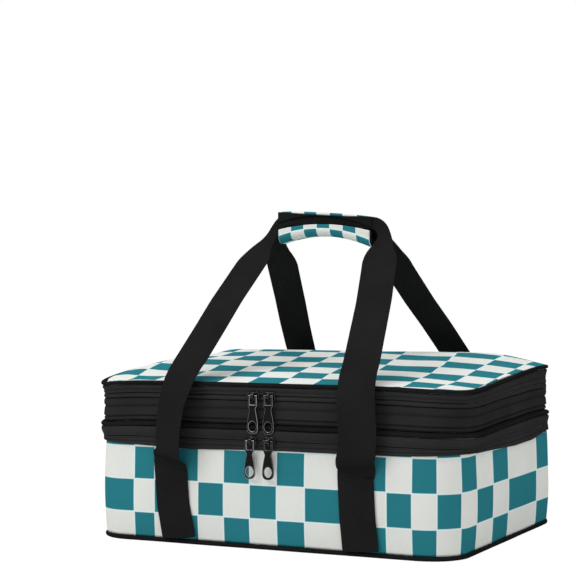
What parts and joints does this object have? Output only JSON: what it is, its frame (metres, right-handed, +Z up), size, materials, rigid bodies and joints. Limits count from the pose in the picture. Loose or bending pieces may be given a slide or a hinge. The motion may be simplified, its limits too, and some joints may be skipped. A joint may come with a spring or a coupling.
{
  "type": "casserole carrier",
  "caption": "Insulated two-compartment casserole carrier with checked cloth walls, a zipped crowned lid, a fold-down upper compartment and a webbing handle with a padded wrap.",
  "frame": {"origin": "middle of the base panel, on the surface that the carrier stands on", "axes": "+X along the width, to the right as seen from the zip pulls; +Y towards the hinged back; +Z up"},
  "size_m": [0.4142, 0.3788, 0.348],
  "materials": {
    "checked_cloth": "matt printed polyester canvas, teal and off-white checks",
    "black_cloth": "matt black polyester tape and binding",
    "webbing": "matt black ribbed webbing",
    "foil_liner": "silver foil-faced liner film",
    "foam": "white expanded foam sheet",
    "board": "grey stiffener board",
    "zip_coil": "black nylon coil",
    "gunmetal": "glossy black plated zinc"
  },
  "bodies": {
    "lower_case": {"base_panel": "black_cloth", "base_board": "board", "base_foam": "foam", "bottom_piping": "black_cloth", "lower_wall_cover": "checked_cloth", "lower_wall_foam": "foam", "lower_liner": "foil_liner", "lower_zip_tape": "black_cloth", "lower_zip_coil": "zip_coil", "mid_hinge_binding": "black_cloth", "front_left_sewn_strap": "webbing", "front_right_sewn_strap": "webbing", "back_left_sewn_strap": "webbing", "back_right_sewn_strap": "webbing"},
    "deck": {"deck_zip_coil": "zip_coil", "deck_zip_tape": "black_cloth", "deck_under_liner": "foil_liner", "deck_board": "board", "deck_foam": "foam", "deck_top_liner": "foil_liner", "deck_piping": "black_cloth", "gusset_wall": "checked_cloth"},
    "upper_frame": {"upper_band_cover": "black_cloth", "upper_band_foam": "foam", "upper_band_liner": "foil_liner", "top_zip_tape": "black_cloth", "top_zip_coil": "zip_coil", "top_hinge_binding": "black_cloth"},
    "lid": {"lid_zip_coil": "zip_coil", "lid_band": "black_cloth", "lid_piping": "black_cloth", "lid_cover": "checked_cloth", "lid_foam": "foam", "lid_liner": "foil_liner"},
    "front_feet": {"front_left_strap_foot": "webbing", "front_right_strap_foot": "webbing"},
    "back_feet": {"back_left_strap_foot": "webbing", "back_right_strap_foot": "webbing"},
    "front_loop": {"front_strap_loop": "webbing"},
    "back_loop": {"back_strap_loop": "webbing", "handle_wrap": "checked_cloth", "handle_wrap_lining": "black_cloth"},
    "mid_left_runner": {"mid_left_slider": "gunmetal"},
    "mid_left_tab": {"mid_left_pull": "gunmetal"},
    "mid_right_runner": {"mid_right_slider": "gunmetal"},
    "mid_right_tab": {"mid_right_pull": "gunmetal"},
    "top_left_runner": {"top_left_slider": "gunmetal"},
    "top_left_tab": {"top_left_pull": "gunmetal"},
    "top_right_runner": {"top_right_slider": "gunmetal"},
    "top_right_tab": {"top_right_pull": "gunmetal"}
  },
  "joints": [
    {"name": "deck_hinge", "type": "hinge", "parent": "lower_case", "child": "deck", "pos_m": [0, 0.1734, 0.1094], "axis": [-1, 0, 0], "range_deg": [0, 26]},
    {"name": "expand", "type": "slide", "parent": "deck", "child": "upper_frame", "axis": [0, 0, 1], "range_m": [0, 0.047], "deforming": ["gusset_wall"]},
    {"name": "lid_hinge", "type": "hinge", "parent": "upper_frame", "child": "lid", "pos_m": [0, 0.1734, 0.1545], "axis": [-1, 0, 0], "range_deg": [0, 58.1]},
    {"name": "front_foot_hinge", "type": "hinge", "parent": "lower_case", "child": "front_feet", "pos_m": [0, -0.1735, 0.079], "axis": [1, 0, 0], "range_deg": [0, 16.1]},
    {"name": "back_foot_hinge", "type": "hinge", "parent": "lower_case", "child": "back_feet", "pos_m": [0, 0.1735, 0.079], "axis": [-1, 0, 0], "range_deg": [0, 16.1]},
    {"name": "front_loop_hinge", "type": "hinge", "parent": "front_feet", "child": "front_loop", "pos_m": [0, -0.1894, 0.098], "axis": [1, 0, 0], "range_deg": [0, 126.1]},
    {"name": "back_loop_hinge", "type": "hinge", "parent": "back_feet", "child": "back_loop", "pos_m": [0, 0.1894, 0.098], "axis": [-1, 0, 0], "range_deg": [0, 126.1]},
    {"name": "mid_left_slide", "type": "slide", "parent": "lower_case", "child": "mid_left_runner", "axis": [-1, 0, 0], "range_m": [0, 0.06]},
    {"name": "mid_left_swing", "type": "hinge", "parent": "mid_left_runner", "child": "mid_left_tab", "pos_m": [-0.012, -0.17613, 0.1094], "axis": [-1, 0, 0], "range_deg": [0, 150]},
    {"name": "mid_right_slide", "type": "slide", "parent": "lower_case", "child": "mid_right_runner", "axis": [1, 0, 0], "range_m": [0, 0.06]},
    {"name": "mid_right_swing", "type": "hinge", "parent": "mid_right_runner", "child": "mid_right_tab", "pos_m": [0.0085, -0.17613, 0.1094], "axis": [-1, 0, 0], "range_deg": [0, 150]},
    {"name": "top_left_slide", "type": "slide", "parent": "upper_frame", "child": "top_left_runner", "axis": [-1, 0, 0], "range_m": [0, 0.14]},
    {"name": "top_left_swing", "type": "hinge", "parent": "top_left_runner", "child": "top_left_tab", "pos_m": [-0.0095, -0.17463, 0.1545], "axis": [-1, 0, 0], "range_deg": [0, 150]},
    {"name": "top_right_slide", "type": "slide", "parent": "upper_frame", "child": "top_right_runner", "axis": [1, 0, 0], "range_m": [0, 0.14]},
    {"name": "top_right_swing", "type": "hinge", "parent": "top_right_runner", "child": "top_right_tab", "pos_m": [0.008, -0.17463, 0.1545], "axis": [-1, 0, 0], "range_deg": [0, 150]}
  ],
  "couplings": [
    {"joint": "lid_hinge", "follows": "deck_hinge", "ratio": 2.2308},
    {"joint": "front_loop_hinge", "follows": "deck_hinge", "ratio": 4.8461},
    {"joint": "back_loop_hinge", "follows": "deck_hinge", "ratio": 4.8461},
    {"joint": "front_foot_hinge", "follows": "expand", "rad_per_m": 5.9416},
    {"joint": "back_foot_hinge", "follows": "expand", "rad_per_m": 5.9416}
  ]
}
